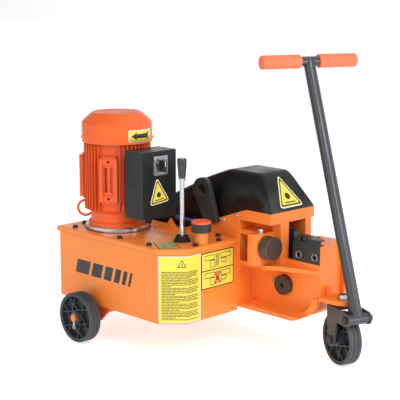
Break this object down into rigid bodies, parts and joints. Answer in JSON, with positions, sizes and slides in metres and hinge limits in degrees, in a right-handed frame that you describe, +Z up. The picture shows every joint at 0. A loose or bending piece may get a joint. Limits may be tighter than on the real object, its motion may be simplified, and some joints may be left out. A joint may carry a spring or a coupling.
{
  "type": "rebar cutter",
  "caption": "Wheeled hydraulic rebar cutter: oil tank with vertical electric motor and valve lever, side cutting head with swinging blade arm, guard cover and steerable pull handle.",
  "frame": {"origin": "middle of the whole machine's footprint, on the floor", "axes": "+X forward towards the pull handle and front wheel, +Y across from the oil tank towards the cutting head, +Z up"},
  "size_m": [0.937, 0.6468, 0.8549],
  "materials": {
    "orange_paint": "gloss paint",
    "motor_paint": "gloss paint",
    "black_paint": "satin powder coat",
    "grey_paint": "satin powder coat",
    "blue_sleeve": "moulded",
    "dark_steel": "blackened tool steel",
    "zinc": "zinc plated",
    "cast_aluminium": "machined casting",
    "bronze": "machined",
    "laminations": "varnished core",
    "black_plastic": "moulded",
    "wheel_plastic": "moulded",
    "grip_foam": "soft moulded",
    "rubber": "matte",
    "tyre": "matte"
  },
  "bodies": {
    "machine": {"tank": "orange_paint", "tank_lid": "orange_paint", "lid_gasket": "rubber", "lid_bolts": "dark_steel", "drain_plug": "zinc", "motor_flange": "cast_aluminium", "drive_endshield": "motor_paint", "motor_housing": "motor_paint", "fan_cowl": "motor_paint", "cowl_screws": "motor_paint", "stator": "laminations", "motor_bearings": "zinc", "lifting_eye": "motor_paint", "bell_housing": "cast_aluminium", "pump_body": "cast_aluminium", "switch_box": "grey_paint", "switch_box_cover": "grey_paint", "switch_plate": "zinc", "cable_gland": "black_plastic", "valve_block": "cast_aluminium", "lever_boot": "rubber", "filler_neck": "orange_paint", "head_frame": "orange_paint", "guard_cover": "black_paint", "cover_screws": "zinc", "lifting_lug": "black_paint", "cylinder_barrel": "grey_paint", "pressure_pipe": "blue_sleeve", "pivot_pin": "dark_steel", "grease_nipple": "zinc", "fixed_blade": "dark_steel", "blade_holder": "dark_steel", "clamp_bolts": "dark_steel", "rear_axle": "orange_paint", "axle_brackets": "orange_paint", "swivel_bracket": "orange_paint"},
    "rotor": {"rotor": "zinc", "cooling_fan": "black_plastic", "pump_drive_gear": "zinc"},
    "pump_idler": {"pump_driven_gear": "zinc"},
    "switch": {"switch_knob": "black_plastic"},
    "lever": {"control_lever": "zinc", "lever_grip": "black_plastic"},
    "spool": {"valve_spool": "zinc"},
    "cap": {"filler_cap": "black_plastic"},
    "ram": {"piston_rod": "zinc"},
    "arm": {"blade_arm": "dark_steel", "arm_bushes": "bronze", "moving_blade": "dark_steel"},
    "stop": {"bar_stop": "dark_steel"},
    "left_wheel": {"left_rim": "wheel_plastic", "left_tyre": "tyre"},
    "right_wheel": {"right_rim": "wheel_plastic", "right_tyre": "tyre"},
    "fork": {"front_fork": "black_paint", "fork_bolts": "zinc"},
    "front_wheel": {"front_rim": "wheel_plastic", "front_tyre": "tyre"},
    "handle": {"pull_handle": "grey_paint", "handle_grips": "grip_foam"}
  },
  "joints": [
    {"name": "motor_spin", "type": "hinge", "parent": "machine", "child": "rotor", "pos_m": [-0.32552, -0.12744, 0.4], "axis": [0, 0, 1], "continuous": true},
    {"name": "pump_idler_spin", "type": "hinge", "parent": "machine", "child": "pump_idler", "pos_m": [-0.32552, -0.08744, 0.22], "axis": [0, 0, 1], "continuous": true},
    {"name": "switch_turn", "type": "hinge", "parent": "machine", "child": "switch", "pos_m": [-0.13452, -0.12544, 0.533], "axis": [1, 0, 0], "range_deg": [0, 60]},
    {"name": "lever_swing", "type": "hinge", "parent": "machine", "child": "lever", "pos_m": [-0.03952, -0.12944, 0.316], "axis": [0, 1, 0], "range_deg": [-12, 12], "stiffness_Nm_per_rad": 4},
    {"name": "spool_slide", "type": "slide", "parent": "machine", "child": "spool", "axis": [1, 0, 0], "range_m": [-0.0066, 0.0066]},
    {"name": "filler_cap_turn", "type": "hinge", "parent": "machine", "child": "cap", "pos_m": [0.01648, -0.10744, 0.36], "axis": [0, 0, 1], "continuous": true},
    {"name": "ram_slide", "type": "slide", "parent": "machine", "child": "ram", "axis": [0.9426, 0, 0.3338], "range_m": [0, 0.07349]},
    {"name": "arm_swing", "type": "hinge", "parent": "machine", "child": "arm", "pos_m": [0.17848, 0.12656, 0.199], "axis": [0, 1, 0], "range_deg": [0, 18.1]},
    {"name": "bar_stop_slide", "type": "slide", "parent": "machine", "child": "stop", "axis": [1, 0, 0], "range_m": [0, 0.018]},
    {"name": "left_wheel_roll", "type": "hinge", "parent": "machine", "child": "left_wheel", "pos_m": [-0.30852, -0.29644, 0.075], "axis": [0, 1, 0], "continuous": true},
    {"name": "right_wheel_roll", "type": "hinge", "parent": "machine", "child": "right_wheel", "pos_m": [-0.30852, 0.24656, 0.075], "axis": [0, 1, 0], "continuous": true},
    {"name": "fork_steer", "type": "hinge", "parent": "machine", "child": "fork", "pos_m": [0.36848, 0.10056, 0.15], "axis": [0, 0, 1], "range_deg": [-40, 80]},
    {"name": "front_wheel_roll", "type": "hinge", "parent": "fork", "child": "front_wheel", "pos_m": [0.36848, 0.10056, 0.075], "axis": [0.342, 0.9397, 0], "continuous": true},
    {"name": "handle_pitch", "type": "hinge", "parent": "fork", "child": "handle", "pos_m": [0.43896, 0.07491, 0.15], "axis": [0.342, 0.9397, 0], "range_deg": [0, 85]}
  ],
  "couplings": [
    {"joint": "pump_idler_spin", "follows": "motor_spin", "ratio": -1},
    {"joint": "spool_slide", "follows": "lever_swing", "m_per_rad": -0.031},
    {"joint": "arm_swing", "follows": "ram_slide", "rad_per_m": 4.2748}
  ]
}
